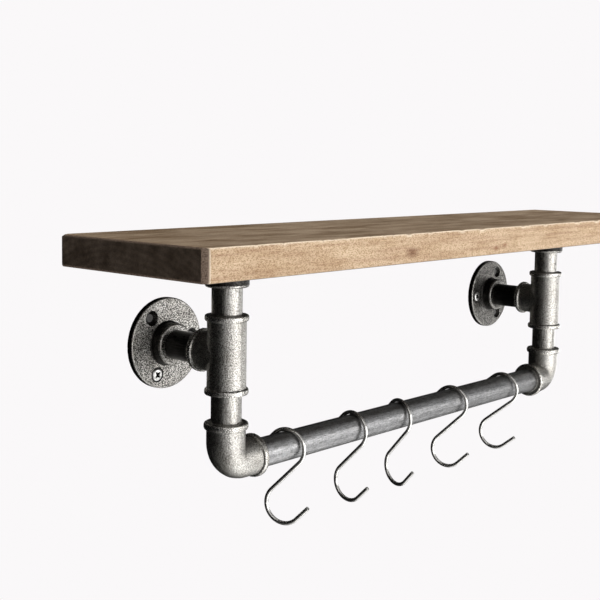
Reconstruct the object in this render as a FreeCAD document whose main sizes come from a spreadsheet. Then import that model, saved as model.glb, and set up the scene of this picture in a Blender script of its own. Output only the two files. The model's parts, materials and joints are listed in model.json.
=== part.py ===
import FreeCAD, Part
import math
import os
import re
import Sketcher

# Wall shelf of half-inch iron pipe: a wooden board on two legs of malleable fittings, each leg
# screwed to the wall through a floor flange, with a hook rail between the two elbows.
# Frame: X along the rail, Y towards the wall, Z up. The origin lies on the wall plane, midway
# between the wall flanges, at the height of the tees' centres. Millimetres and degrees.

SIZES = [
    # alias, value, meaning
    ("pipe_diameter", 21.3, "outside of the pipe"),
    ("pipe_wall", 2.65, "wall of the pipe"),
    ("thread_diameter", 20.0, "mean diameter of the pipe thread"),
    ("thread_length", 13.0, "thread that is screwed into a fitting"),
    ("thread_gap", 0.05, "radial gap between the threads, as made"),
    ("thread_lead", 1.0, "chamfer that starts the thread"),
    ("rail_length", 399.0, "cut length of the hook rail"),
    ("upper_nipple", 45.0, "cut length of the nipple above a tee"),
    ("lower_nipple", 45.5, "cut length of the nipple below a tee"),
    ("wall_nipple", 52.5, "cut length of the nipple to the wall flange"),
    ("run_reach", 27.5, "centre to face of a tee's run"),
    ("branch_reach", 25.5, "centre to face of a tee's branch"),
    ("elbow_reach", 28.5, "centre to face of an elbow"),
    ("fitting_diameter", 27.2, "outside of a fitting behind its bead"),
    ("socket_spare", 1.0, "socket left past the end of the pipe"),
    ("bead_length", 4.0, "length of the rolled bead at a fitting's mouth"),
    ("bead_rise", 1.65, "height of the bead over the fitting"),
    ("elbow_radius", 14.5, "bend radius of the elbow's centre line"),
    ("flange_diameter", 66.0, "outside of a flange"),
    ("flange_disc", 5.0, "thickness of a flange's disc"),
    ("flange_reach", 14.5, "overall height of a flange"),
    ("hub_diameter", 30.5, "outside of a flange's hub"),
    ("hub_round", 1.8, "rounding of the hub's mouth"),
    ("disc_round", 1.2, "rounding of the disc's rim"),
    ("root_round", 1.2, "cast fillet between disc and hub"),
    ("hole_circle", 48.0, "pitch circle of a flange's screw holes"),
    ("hole_count", 3, "screw holes in a flange"),
    ("hole_diameter", 5.2, "screw hole through a flange"),
    ("sink_diameter", 11.0, "mouth of the countersink, cut at 90 degrees"),
    ("left_flange_turn", 7.0, "turn of the left wall flange on its nipple"),
    ("right_flange_turn", 182.0, "turn of the right wall flange on its nipple"),
    ("board_flange_turn", 90.0, "turn of the flanges under the board"),
    ("board_length", 608.0, "board along the rail"),
    ("board_depth", 140.0, "board from the wall to its front edge"),
    ("board_thickness", 21.5, "planed thickness of the board"),
    ("corner_cut", 3.5, "chamfer of the board's upright corners"),
    ("edge_cut", 1.2, "eased edge around the board's two faces"),
    ("screw_length", 20.0, "length of a board screw"),
    ("screw_diameter", 4.0, "shank of a board screw"),
    ("screw_head", 9.0, "head of a board screw"),
    ("screw_point", 3.0, "length of the screw's point"),
    ("screw_gap", 0.1, "gap around a board screw, as made"),
    ("recess_span", 4.6, "width across the cross recess"),
    ("recess_slot", 1.1, "width of one slot of the cross recess"),
    ("recess_depth", 1.4, "depth of the cross recess"),
    ("hook_wire", 2.8, "diameter of the hook wire"),
    ("hook_radius", 14.2, "bend radius of the hook's centre line"),
    ("hook_shank", 31.3, "straight between the hook's two bends"),
    ("hook_tail", 13.8, "straight beyond each bend"),
    ("hook_lean", 46.3, "lean of a hanging hook's shank from upright"),
    ("hook_gap", 0.3, "gap between the hook and the top of the rail"),
    ("hook_1_place", -153.3, "place of hook 1 along the rail"),
    ("hook_1_turn", 17.3, "turn of hook 1 about the upright through its top"),
    ("hook_1_lean", -1.7, "how much further than the others hook 1 leans"),
    ("hook_2_place", -77.5, "place of hook 2"),
    ("hook_2_turn", -3.2, "turn of hook 2"),
    ("hook_2_lean", -0.4, "further lean of hook 2"),
    ("hook_3_place", -16.7, "place of hook 3"),
    ("hook_3_turn", -13.3, "turn of hook 3"),
    ("hook_3_lean", -2.1, "further lean of hook 3"),
    ("hook_4_place", 58.7, "place of hook 4"),
    ("hook_4_turn", 10.4, "turn of hook 4"),
    ("hook_4_lean", -0.4, "further lean of hook 4"),
    ("hook_5_place", 142.1, "place of hook 5"),
    ("hook_5_turn", 9.8, "turn of hook 5"),
    ("hook_5_lean", 4.5, "further lean of hook 5"),
]
HOOKS = [alias.removesuffix("_place") for alias, _, _ in SIZES if alias.endswith("_place")]

# Lengths nearer than this to each other are the same.
SAME = 1e-6

doc = FreeCAD.newDocument("pipe_shelf")
sheet = doc.addObject("Spreadsheet::Sheet", "Sizes")


def enter(row, alias, value, meaning):
    """Write one driving dimension into the sheet, with its name and its meaning."""
    sheet.set(f"A{row}", alias)
    sheet.set(f"B{row}", str(value))
    sheet.set(f"C{row}", meaning)
    sheet.setAlias(f"B{row}", alias)


for row, (alias, value, meaning) in enumerate(SIZES, start=1):
    enter(row, alias, value, meaning)
doc.recompute()


def cell(expression):
    """Spell the sheet's names in an expression in full. They are its words with a low line."""
    return re.sub(r"\b([a-z]+_\w+)", r"Sizes.\1", expression)


def amount(expression):
    """Work out an expression of the sheet's names as a number."""
    return float(sheet.evalExpression(cell(expression)))


# ---- places, each worked out from the sheet ----

PIPE_R = "(pipe_diameter / 2)"
BORE_R = "(pipe_diameter / 2 - pipe_wall)"
SPIGOT_R = "(thread_diameter / 2)"
SOCKET_R = "(thread_diameter / 2 + thread_gap)"
BODY_R = "(fitting_diameter / 2)"
RUN_SEAT = "(run_reach - thread_length)"
BRANCH_SEAT = "(branch_reach - thread_length)"
ELBOW_SEAT = "(elbow_reach - thread_length)"

LEG_X = f"(rail_length / 2 + {ELBOW_SEAT})"
LEG_Y = f"(-flange_reach - wall_nipple + thread_length - {BRANCH_SEAT})"
UPPER_FLANGE_Z = f"({RUN_SEAT} + upper_nipple - thread_length + flange_reach)"
ELBOW_Z = f"(-{RUN_SEAT} - lower_nipple - {ELBOW_SEAT})"
SCREW_Z = f"({UPPER_FLANGE_Z} - flange_disc + (sink_diameter - screw_head) / 2)"


# ---- making sketches and features ----

def new_body(label):
    """Start a sub-part; its label is the name of its node."""
    body = doc.addObject("PartDesign::Body", label)
    body.Label = label
    return body


def place(body, across, along, up, yaw="0", roll="0"):
    """Set a sub-part down, turned by yaw about Z after a roll about X."""
    spot = f"vector({across}; {along}; {up})"
    body.setExpression("Placement", cell(f"placement({spot}; rotation({yaw}; 0; {roll}))"))


def origin_feature(body, role):
    """Find a plane or an axis of a body's own origin."""
    return next(item for item in body.Origin.OriginFeatures if item.Role == role)


def new_sketch(body, name, plane, offset=None):
    """Start a sketch on one of the body's own planes, moved by (x, y, z) in that plane's frame."""
    sketch = body.newObject("Sketcher::SketchObject", name)
    sketch.AttachmentSupport = [(origin_feature(body, plane), "")]
    sketch.MapMode = "FlatFace"
    for letter, distance in zip("xyz", offset or ()):
        sketch.setExpression(f"AttachmentOffset.Base.{letter}", cell(distance))
    return sketch


def bind(sketch, constraint, expression):
    """Add a constraint and tie its value to the sheet."""
    index = sketch.addConstraint(constraint)
    sketch.setExpression(f"Constraints[{index}]", cell(expression))


def pin_point(sketch, edge, end, across, up):
    """Hold a point of an edge at a distance from the sketch's origin."""
    bind(sketch, Sketcher.Constraint("DistanceX", -1, 1, edge, end, amount(across)), across)
    bind(sketch, Sketcher.Constraint("DistanceY", -1, 1, edge, end, amount(up)), up)


def bulged_arc(start, end, radius):
    """Make the short arc between two points that bulges to the right of the way there."""
    way = end - start
    right = FreeCAD.Vector(way.y, -way.x, 0).normalize()
    rise = radius - math.sqrt(radius ** 2 - (way.Length / 2) ** 2)
    return Part.Arc(start, start + way / 2 + right * rise, end)


def outline(sketch, corners):
    """Close a loop through corners (across, up). A third value is the radius of the arc that
    ends at that corner, bulging to the right; the other sides are straight."""
    points = [FreeCAD.Vector(amount(corner[0]), amount(corner[1]), 0) for corner in corners]
    sides = []
    for corner, start, end in zip(corners, points[-1:] + points[:-1], points):
        if len(corner) == 3:
            sides.append(sketch.addGeometry(bulged_arc(start, end, amount(corner[2]))))
            bind(sketch, Sketcher.Constraint("Radius", sides[-1], amount(corner[2])), corner[2])
        else:
            sides.append(sketch.addGeometry(Part.LineSegment(start, end)))
    for side, following in zip(sides, sides[1:] + sides[:1]):
        sketch.addConstraint(Sketcher.Constraint("Coincident", side, 2, following, 1))
    for side, corner in zip(sides, corners):
        pin_point(sketch, side, 2, corner[0], corner[1])
    return sketch


def disc_outline(sketch, across, up, diameter):
    """Add a circle to a sketch."""
    centre = FreeCAD.Vector(amount(across), amount(up), 0)
    circle = Part.Circle(centre, FreeCAD.Vector(0, 0, 1), amount(diameter) / 2)
    edge = sketch.addGeometry(circle)
    pin_point(sketch, edge, 3, across, up)
    bind(sketch, Sketcher.Constraint("Diameter", edge, amount(diameter)), diameter)


def turn_feature(body, kind, name, sketch, axis="V_Axis", angle=360):
    """Spin a sketch about one of its axes, adding to the body (Revolution) or cutting (Groove)."""
    before = 0 if body.Tip is None else body.Shape.Volume
    feature = body.newObject(f"PartDesign::{kind}", name)
    feature.Profile = sketch
    feature.ReferenceAxis = (sketch, [axis])
    feature.Angle = angle
    doc.recompute()
    check_change(body, name, before, kind == "Revolution")
    return feature


def push_feature(body, kind, name, sketch, depth=None, backwards=False):
    """Raise a sketch (Pad) or sink it (Pocket) by a depth, or right through without one."""
    before = 0 if body.Tip is None else body.Shape.Volume
    feature = body.newObject(f"PartDesign::{kind}", name)
    feature.Profile = sketch
    feature.Reversed = backwards
    if depth is None:
        feature.Type = "ThroughAll"
    else:
        feature.setExpression("Length", cell(depth))
    doc.recompute()
    check_change(body, name, before, kind == "Pad")
    return feature


def check_change(body, name, before, adds):
    """Stop if a feature left the solid as it was or changed it the wrong way."""
    after = body.Shape.Volume
    if adds and after <= before or not adds and after >= before:
        raise RuntimeError(f"{body.Label}: {name} has no effect, {before:.1f} to {after:.1f} mm3")


def dress_feature(body, kind, name, size, wanted):
    """Round (Fillet) or cut (Chamfer) the edges of the body for which wanted(edge) is true."""
    solid = body.Tip
    edges = [f"Edge{i}" for i, edge in enumerate(solid.Shape.Edges, start=1) if wanted(edge)]
    if not edges:
        raise RuntimeError(f"{body.Label}: {name} finds no edge")
    feature = body.newObject(f"PartDesign::{kind}", name)
    feature.Base = (solid, edges)
    feature.setExpression("Radius" if kind == "Fillet" else "Size", cell(size))
    doc.recompute()
    return feature


def repeat_round(body, name, features):
    """Repeat features round the body's Z axis, one for each screw hole of a flange."""
    pattern = body.newObject("PartDesign::PolarPattern", name)
    pattern.Originals = features
    pattern.Axis = (origin_feature(body, "Z_Axis"), [""])
    pattern.Angle = 360
    pattern.setExpression("Occurrences", cell("hole_count"))
    body.Tip = pattern
    doc.recompute()
    return pattern


def ring_at(radius, height):
    """Make a test for the round edges of a given radius at a given height."""
    def wanted(edge):
        centre = edge.BoundBox.Center
        flat = edge.BoundBox.ZLength < SAME
        return (flat and hasattr(edge.Curve, "Radius") and math.hypot(centre.x, centre.y) < SAME
                and abs(edge.Curve.Radius - amount(radius)) < SAME
                and abs(centre.z - amount(height)) < SAME)
    return wanted


# ---- pipes: steel tube, both ends threaded; the thread stands at its mean diameter ----

def make_pipe(label, length):
    """Turn a tube along Z from its origin, with a reduced, chamfered end at both ends."""
    body = new_body(label)
    corners = [
        (BORE_R, "0"),
        (f"{SPIGOT_R} - thread_lead", "0"),
        (SPIGOT_R, "thread_lead"),
        (SPIGOT_R, "thread_length"),
        (PIPE_R, "thread_length"),
        (PIPE_R, f"{length} - thread_length"),
        (SPIGOT_R, f"{length} - thread_length"),
        (SPIGOT_R, f"{length} - thread_lead"),
        (f"{SPIGOT_R} - thread_lead", length),
        (BORE_R, length),
    ]
    section = outline(new_sketch(body, f"{label}_section", "XZ_Plane"), corners)
    turn_feature(body, "Revolution", f"{label}_tube", section)
    return body


# ---- tees and elbows: malleable iron, a rolled bead at each mouth, a threaded socket inside ----

BEAD_ARC = "((bead_length ^ 2 / 4 + bead_rise ^ 2) / (2 * bead_rise))"


def add_mouth(body, name, plane, start, reach):
    """Add a fitting's outside along the plane's upright, from start to its mouth."""
    corners = [
        ("0", start),
        (BODY_R, start),
        (BODY_R, f"{reach} - bead_length"),
        (BODY_R, reach, BEAD_ARC),
        ("0", reach),
    ]
    section = outline(new_sketch(body, f"{name}_section", plane), corners)
    return turn_feature(body, "Revolution", name, section)


def cut_bore(body, name, plane, radius, start, reach):
    """Cut a round bore along the plane's upright, from start to a fitting's mouth."""
    corners = [
        ("0", start),
        (radius, start),
        (radius, reach),
        ("0", reach),
    ]
    section = outline(new_sketch(body, f"{name}_section", plane), corners)
    return turn_feature(body, "Groove", name, section)


def cut_socket(body, name, plane, reach):
    """Cut the threaded socket at a fitting's mouth, a little deeper than the pipe goes in."""
    floor = f"({reach} - thread_length - socket_spare)"
    return cut_bore(body, name, plane, SOCKET_R, floor, reach)


def mirror_down(body, name, features):
    """Repeat features on the other side of the body's XY plane."""
    mirrored = body.newObject("PartDesign::Mirrored", name)
    mirrored.Originals = features
    mirrored.MirrorPlane = (origin_feature(body, "XY_Plane"), [""])
    body.Tip = mirrored
    doc.recompute()


def make_tee(label):
    """Make a tee about its centre, its run along Z and its branch along Y."""
    body = new_body(label)
    run = add_mouth(body, f"{label}_run", "XZ_Plane", "0", "run_reach")
    mirror_down(body, f"{label}_lower_run", [run])
    add_mouth(body, f"{label}_branch", "XY_Plane", "0", "branch_reach")
    bores = [
        cut_bore(body, f"{label}_run_waterway", "XZ_Plane", BORE_R, "0", "run_reach"),
        cut_socket(body, f"{label}_run_socket", "XZ_Plane", "run_reach"),
    ]
    mirror_down(body, f"{label}_lower_bores", bores)
    cut_bore(body, f"{label}_branch_waterway", "XY_Plane", BORE_R, "0", "branch_reach")
    cut_socket(body, f"{label}_branch_socket", "XY_Plane", "branch_reach")
    return body


def bend_feature(body, kind, name, diameter):
    """Spin a circle a quarter turn from the upright leg of an elbow to its level one."""
    offset = ("0", "elbow_radius", "elbow_radius")
    sketch = new_sketch(body, f"{name}_section", "XY_Plane", offset)
    disc_outline(sketch, "0", "-elbow_radius", diameter)
    return turn_feature(body, kind, name, sketch, "H_Axis", 90)


def make_elbow(label):
    """Make an elbow about the crossing of its axes, one mouth up Z and one along Y."""
    body = new_body(label)
    bend_feature(body, "Revolution", f"{label}_bend", "fitting_diameter")
    for name, plane in (("upper", "XZ_Plane"), ("side", "XY_Plane")):
        add_mouth(body, f"{label}_{name}", plane, "elbow_radius", "elbow_reach")
    bend_feature(body, "Groove", f"{label}_bend_waterway", "pipe_diameter - 2 * pipe_wall")
    for name, plane in (("upper", "XZ_Plane"), ("side", "XY_Plane")):
        cut_bore(body, f"{label}_{name}_waterway", plane, BORE_R, "elbow_radius", "elbow_reach")
        cut_socket(body, f"{label}_{name}_socket", plane, "elbow_reach")
    return body


# ---- flanges: cast disc with a threaded hub and countersunk screw holes ----

def make_flange(label):
    """Make a flange on the XY plane, its hub up Z."""
    body = new_body(label)
    corners = [
        (SOCKET_R, "0"),
        ("flange_diameter / 2", "0"),
        ("flange_diameter / 2", "flange_disc"),
        ("hub_diameter / 2", "flange_disc"),
        ("hub_diameter / 2", "flange_reach"),
        (SOCKET_R, "flange_reach"),
    ]
    section = outline(new_sketch(body, f"{label}_section", "XZ_Plane"), corners)
    turn_feature(body, "Revolution", f"{label}_casting", section)
    rims = [
        ("hub", "hub_diameter / 2", "flange_reach", "hub_round"),
        ("rim", "flange_diameter / 2", "flange_disc", "disc_round"),
        ("root", "hub_diameter / 2", "flange_disc", "root_round"),
    ]
    for name, radius, height, size in rims:
        dress_feature(body, "Fillet", f"{label}_{name}_round", size, ring_at(radius, height))
    spot = new_sketch(body, f"{label}_hole_place", "XY_Plane", ("0", "0", "flange_disc"))
    disc_outline(spot, "hole_circle / 2", "0", "hole_diameter")
    doc.recompute()
    hole = body.newObject("PartDesign::Hole", f"{label}_hole")
    hole.Profile = spot
    hole.DepthType = "ThroughAll"
    hole.HoleCutType = "Countersink"
    hole.HoleCutCountersinkAngle = 90
    hole.setExpression("Diameter", cell("hole_diameter"))
    hole.setExpression("HoleCutDiameter", cell("sink_diameter"))
    doc.recompute()
    repeat_round(body, f"{label}_holes", [hole])
    return body


# ---- board screws: countersunk wood screws, as many as a flange has holes, in one node ----

def make_board_screws(label):
    """Make the screws of one flange about Z, heads on the XY plane and points up."""
    body = new_body(label)
    head_r = "screw_head / 2"
    shank_r = "screw_diameter / 2"
    offset = ("hole_circle / 2", "0", "0")
    corners = [
        ("0", "0"),
        (head_r, "0"),
        (shank_r, f"({head_r} - {shank_r})"),
        (shank_r, "screw_length - screw_point"),
        ("0", "screw_length"),
    ]
    section = outline(new_sketch(body, f"{label}_section", "XZ_Plane", offset), corners)
    screw = turn_feature(body, "Revolution", f"{label}_shank", section)
    arm = "recess_span / 2"
    slot = "recess_slot / 2"
    quarter = [(arm, f"-{slot}"), (arm, slot), (slot, slot)]
    turns = [("{0}", "{1}"), ("-{1}", "{0}"), ("-{0}", "-{1}"), ("{1}", "-{0}")]
    cross = [
        tuple(f"({side.format(f'({across})', f'({up})')})" for side in turn)
        for turn in turns
        for across, up in quarter
    ]
    sketch = outline(new_sketch(body, f"{label}_cross", "XY_Plane", offset), cross)
    recess = push_feature(body, "Pocket", f"{label}_recess", sketch, "recess_depth", True)
    repeat_round(body, f"{label}_set", [screw, recess])
    return body


# ---- board: planed softwood plank, cut corners, pilot holes for its screws ----

def make_board(label):
    """Make the board on its underside, its back edge on the wall plane."""
    body = new_body(label)
    half = "board_length / 2"
    corners = [
        (f"-{half}", "-board_depth"),
        (half, "-board_depth"),
        (half, "0"),
        (f"-{half}", "0"),
    ]
    plan = outline(new_sketch(body, f"{label}_plan", "XY_Plane"), corners)
    push_feature(body, "Pad", f"{label}_plank", plan, "board_thickness")
    dress_feature(body, "Chamfer", f"{label}_corners", "corner_cut",
                  lambda edge: edge.BoundBox.ZLength > amount("board_thickness") / 2)
    dress_feature(body, "Chamfer", f"{label}_edges", "edge_cut",
                  lambda edge: edge.BoundBox.ZLength < SAME)
    pilots = new_sketch(body, f"{label}_pilots", "XY_Plane")
    for side in ("-", ""):
        for step in range(round(amount("hole_count"))):
            angle = f"(board_flange_turn + {step} * 360 / hole_count)"
            across = f"{side}({LEG_X} + hole_circle / 2 * cos({angle}))"
            along = f"{LEG_Y} + hole_circle / 2 * sin({angle})"
            disc_outline(pilots, across, along, "screw_diameter + 2 * screw_gap")
    depth = f"({SCREW_Z} + screw_length + screw_gap - {UPPER_FLANGE_Z})"
    push_feature(body, "Pocket", f"{label}_pilot_holes", pilots, depth, True)
    return body


# ---- hooks: bent wire with two half-round bends, cut off square ----

def make_hook(label):
    """Bend an S about its middle in the YZ plane, its shank along Z."""
    body = new_body(label)
    path = new_sketch(body, f"{label}_path", "YZ_Plane")
    bend = amount("hook_radius")
    half = amount("hook_shank") / 2
    tail = amount("hook_tail")
    shank = path.addGeometry(Part.LineSegment(
        FreeCAD.Vector(0, -half, 0), FreeCAD.Vector(0, half, 0)))
    path.addConstraint(Sketcher.Constraint("PointOnObject", shank, 1, -2))
    path.addConstraint(Sketcher.Constraint("PointOnObject", shank, 2, -2))
    for side, end in ((1, 2), (-1, 1)):
        top = FreeCAD.Vector(0, side * half, 0)
        crown = FreeCAD.Vector(side * bend, side * (half + bend), 0)
        foot = FreeCAD.Vector(side * 2 * bend, side * half, 0)
        tip = FreeCAD.Vector(side * 2 * bend, side * (half - tail), 0)
        arc = path.addGeometry(Part.Arc(top, crown, foot))
        first, last = (2, 1) if (path.getPoint(arc, 2) - top).Length < SAME else (1, 2)
        straight = path.addGeometry(Part.LineSegment(foot, tip))
        path.addConstraint(Sketcher.Constraint("Tangent", shank, end, arc, first))
        path.addConstraint(Sketcher.Constraint("Tangent", arc, last, straight, 1))
        path.addConstraint(Sketcher.Constraint("Vertical", straight))
        sign = "" if side > 0 else "-"
        bind(path, Sketcher.Constraint("DistanceY", -1, 1, shank, end, side * half),
             f"{sign}(hook_shank / 2)")
        bind(path, Sketcher.Constraint("Radius", arc, bend), "hook_radius")
        bind(path, Sketcher.Constraint("DistanceY", straight, 2, straight, 1, side * tail),
             f"{sign}hook_tail")
    tip_height = ("0", "0", "hook_shank / 2 - hook_tail")
    section = new_sketch(body, f"{label}_section", "XY_Plane", tip_height)
    disc_outline(section, "0", "2 * hook_radius", "hook_wire")
    doc.recompute()
    wire = body.newObject("PartDesign::AdditivePipe", f"{label}_wire")
    wire.Profile = section
    wire.Spine = (path, [f"Edge{i}" for i in range(1, len(path.Shape.Edges) + 1)])
    doc.recompute()
    return body


def hang_hook(body, name):
    """Hang a hook on the rail: its upper bend's centre lies below the rail's top by the bend's
    radius, less half the wire and the gap, and the hook turns about that centre."""
    turn = f"{name}_turn"
    lean = f"(hook_lean + {name}_lean)"
    # From the upper bend's centre to the middle of the shank, in the hook's own plane.
    back = f"(-hook_radius * cos({lean}) + hook_shank / 2 * sin({lean}))"
    down = f"(-hook_radius * sin({lean}) - hook_shank / 2 * cos({lean}))"
    centre = f"({ELBOW_Z} + {PIPE_R} + hook_gap + hook_wire / 2 - hook_radius)"
    place(body, f"{name}_place - {back} * sin({turn})", f"{LEG_Y} + {back} * cos({turn})",
          f"{centre} + {down}", turn, lean)


# ---- the shelf, from the wall outwards ----

parts = []
# Side, the sign of its X, the turn that points an elbow at the rail, and the turns of the wall
# flange and of the board flange, which is mirrored from one side to the other.
SIDES = [
    ("left", "-", "-90", "left_flange_turn", "180 - board_flange_turn"),
    ("right", "", "90", "right_flange_turn", "board_flange_turn"),
]
for side, sign, elbow_turn, wall_turn, board_turn in SIDES:
    leg = f"{sign}{LEG_X}"

    wall_flange = make_flange(f"{side}_wall_flange")
    # The flange's own Z points forwards, so its turn on the nipple is a turn about the world's Y.
    spot = cell(f"vector({leg}; 0; 0)")
    facing = cell(f"rotation(0; 0; 90) * rotation({wall_turn}; 0; 0)")
    wall_flange.setExpression("Placement", f"placement({spot}; {facing})")

    wall_nipple = make_pipe(f"{side}_wall_nipple", "wall_nipple")
    place(wall_nipple, leg, "thread_length - flange_reach", "0", roll="90")

    tee = make_tee(f"{side}_tee")
    place(tee, leg, LEG_Y, "0")

    upper_nipple = make_pipe(f"{side}_upper_nipple", "upper_nipple")
    place(upper_nipple, leg, LEG_Y, RUN_SEAT)

    board_flange = make_flange(f"{side}_board_flange")
    place(board_flange, leg, LEG_Y, UPPER_FLANGE_Z, board_turn, "180")

    board_screws = make_board_screws(f"{side}_board_screws")
    place(board_screws, leg, LEG_Y, SCREW_Z, board_turn)

    lower_nipple = make_pipe(f"{side}_lower_nipple", "lower_nipple")
    place(lower_nipple, leg, LEG_Y, f"-{RUN_SEAT} - lower_nipple")

    elbow = make_elbow(f"{side}_elbow")
    place(elbow, leg, LEG_Y, ELBOW_Z, elbow_turn)

    parts += [wall_flange, wall_nipple, tee, upper_nipple, board_flange, board_screws]
    parts += [lower_nipple, elbow]

rail = make_pipe("rail_pipe", "rail_length")
rail.setExpression("Placement", cell(
    f"placement(vector(-rail_length / 2; {LEG_Y}; {ELBOW_Z}); rotation(0; 90; 0))"))
board = make_board("shelf_board")
place(board, "0", "0", UPPER_FLANGE_Z)
parts += [rail, board]

for name in HOOKS:
    hook = make_hook(name)
    hang_hook(hook, name)
    parts.append(hook)

doc.recompute()

# ---- check the document, then write each sub-part ----

for item in doc.Objects:
    if "Invalid" in item.State or "Error" in item.State:
        raise RuntimeError(f"{item.Label} is {item.State}")
for part in parts:
    if part.Shape.isNull() or not part.Shape.isValid():
        raise RuntimeError(f"{part.Label} has no valid shape")

os.makedirs("parts", exist_ok=True)
for part in parts:
    part.Shape.exportStep(f"parts/{part.Label}.step")
    box = part.Shape.BoundBox
    print(f"{part.Label:20} {len(part.Shape.Solids)} solid, {part.Shape.Volume:10.1f} mm3, "
          f"x {box.XMin:7.1f} {box.XMax:7.1f}, y {box.YMin:7.1f} {box.YMax:7.1f}, "
          f"z {box.ZMin:7.1f} {box.ZMax:7.1f}")
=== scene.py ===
import itertools
import json

import bmesh
import bpy
import numpy as np
from mathutils import Matrix, Vector


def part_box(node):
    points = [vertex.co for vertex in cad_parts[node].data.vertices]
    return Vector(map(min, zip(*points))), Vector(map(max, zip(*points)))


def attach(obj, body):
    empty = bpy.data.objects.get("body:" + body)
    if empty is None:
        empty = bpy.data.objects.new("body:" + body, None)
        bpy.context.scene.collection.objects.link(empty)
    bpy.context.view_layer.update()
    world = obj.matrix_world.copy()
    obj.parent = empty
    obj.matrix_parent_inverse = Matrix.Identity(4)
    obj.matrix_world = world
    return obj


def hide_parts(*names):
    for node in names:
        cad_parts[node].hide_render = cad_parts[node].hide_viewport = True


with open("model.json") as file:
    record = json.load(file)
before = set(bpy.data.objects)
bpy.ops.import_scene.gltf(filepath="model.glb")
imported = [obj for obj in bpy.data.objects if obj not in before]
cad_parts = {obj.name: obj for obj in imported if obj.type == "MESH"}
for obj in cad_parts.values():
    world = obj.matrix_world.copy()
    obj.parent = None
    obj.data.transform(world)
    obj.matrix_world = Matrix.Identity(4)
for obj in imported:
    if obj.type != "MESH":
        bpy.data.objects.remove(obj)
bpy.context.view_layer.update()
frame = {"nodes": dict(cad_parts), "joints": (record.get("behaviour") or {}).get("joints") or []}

# ---- Wall flanges and board flanges ----
# Floor flanges of black malleable iron, sand cast, with a threaded hub and three countersunk
# screw holes. Two hold the legs to the wall and two hold the board. The casting keeps the orange
# peel of the sand mould; tumbling has worn its high spots bright and left the hollows dark.

MM = 0.001
SIDES = {"left": -1, "right": 1}
THREAD_R = 10.05 * MM
DISC_THICKNESS = 5.0 * MM
HUB_R = 15.25 * MM
HUB_ROUND = 1.8 * MM
RIM_ROUND = 1.2 * MM
ROOT_ROUND = 1.6 * MM
BACK_BREAK = 0.3 * MM
THREAD_BREAK = 0.4 * MM
HOLE_R = 2.6 * MM
SINK_R = 5.5 * MM
HOLE_CIRCLE_R = 24.0 * MM
HOLE_COUNT = 3
SECTION_STEP = 0.6 * MM
ROUND_STEP = 0.7 * MM
CUT_STEP = 0.5 * MM
CUT_OVER = 1.0 * MM
PEEL_STEP = 1.1 * MM
PEEL_HEIGHT = 0.035 * MM
PEEL_WAVES = 36


def arc(centre, radius, start, end, count):
    """Points of a circle's arc, from one angle to another in degrees, as (across, up) rows."""
    angle = np.radians(np.linspace(start, end, count))
    return np.stack([centre[0] + radius * np.cos(angle), centre[1] + radius * np.sin(angle)], 1)


def evenly(points, step, closed=False):
    """Points at an even step along a chain of straight runs, keeping each of its corners."""
    points = np.vstack([points, points[:1]]) if closed else np.asarray(points)
    runs = []
    for start, end in zip(points[:-1], points[1:]):
        count = max(int(np.ceil(np.linalg.norm(end - start) / step)), 1)
        runs.append(start + (end - start) * np.arange(count)[:, None] / count)
    return np.vstack(runs if closed else runs + [points[-1:]])


def lathe(profile, step):
    """Spin a profile of (radius, height) rows about Z: each point goes round at its radius, with
    its height as z. Columns are the angle, rows the profile."""
    columns = int(np.ceil(2 * np.pi * profile[:, 0].max() / step))
    angle = 2 * np.pi * np.arange(columns) / columns
    radius, height = profile[:, :1], profile[:, 1:]
    return np.stack([radius * np.cos(angle), radius * np.sin(angle), height + 0 * angle], -1)


def peel(points, seed):
    """The height of orange peel at each point: the sum of plane waves in random directions, each
    about one step long, scaled to its usual height."""
    rng = np.random.default_rng(seed)
    direction = rng.normal(size=(PEEL_WAVES, 3))
    direction /= np.linalg.norm(direction, axis=1)[:, None]
    length = PEEL_STEP * rng.uniform(0.75, 1.6, PEEL_WAVES)
    phase = rng.uniform(0, 2 * np.pi, PEEL_WAVES)
    total = np.zeros(len(points))
    for way, span, shift in zip(direction, length, phase):
        total += np.cos(points @ (way * 2 * np.pi / span) + shift)
    return PEEL_HEIGHT * total * np.sqrt(2 / PEEL_WAVES)


def fill_mesh(mesh, points, quads):
    """Put points and four-cornered faces into a mesh."""
    mesh.vertices.add(len(points))
    mesh.vertices.foreach_set("co", points.ravel())
    mesh.loops.add(quads.size)
    mesh.loops.foreach_set("vertex_index", quads.ravel())
    mesh.polygons.add(len(quads))
    mesh.polygons.foreach_set("loop_start", np.arange(0, quads.size, 4))
    mesh.update(calc_edges=True)


def net(grid, first, ring=True, loop=False):
    """Faces between a grid's neighbouring rows and columns, its points numbered from first. A
    ring's last column joins its first, and a loop's last row joins its first."""
    index = first + np.arange(grid.shape[0] * grid.shape[1]).reshape(grid.shape[:2])
    if ring:
        index = np.hstack([index, index[:, :1]])
    if loop:
        index = np.vstack([index, index[:1]])
    corners = [index[:-1, :-1], index[:-1, 1:], index[1:, 1:], index[1:, :-1]]
    return np.stack(corners, -1).reshape(-1, 4)


def put_in_scene(name, data):
    """Make an object of a mesh, lamp or camera, and put it in the scene."""
    item = bpy.data.objects.new(name, data)
    bpy.context.scene.collection.objects.link(item)
    return item


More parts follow.
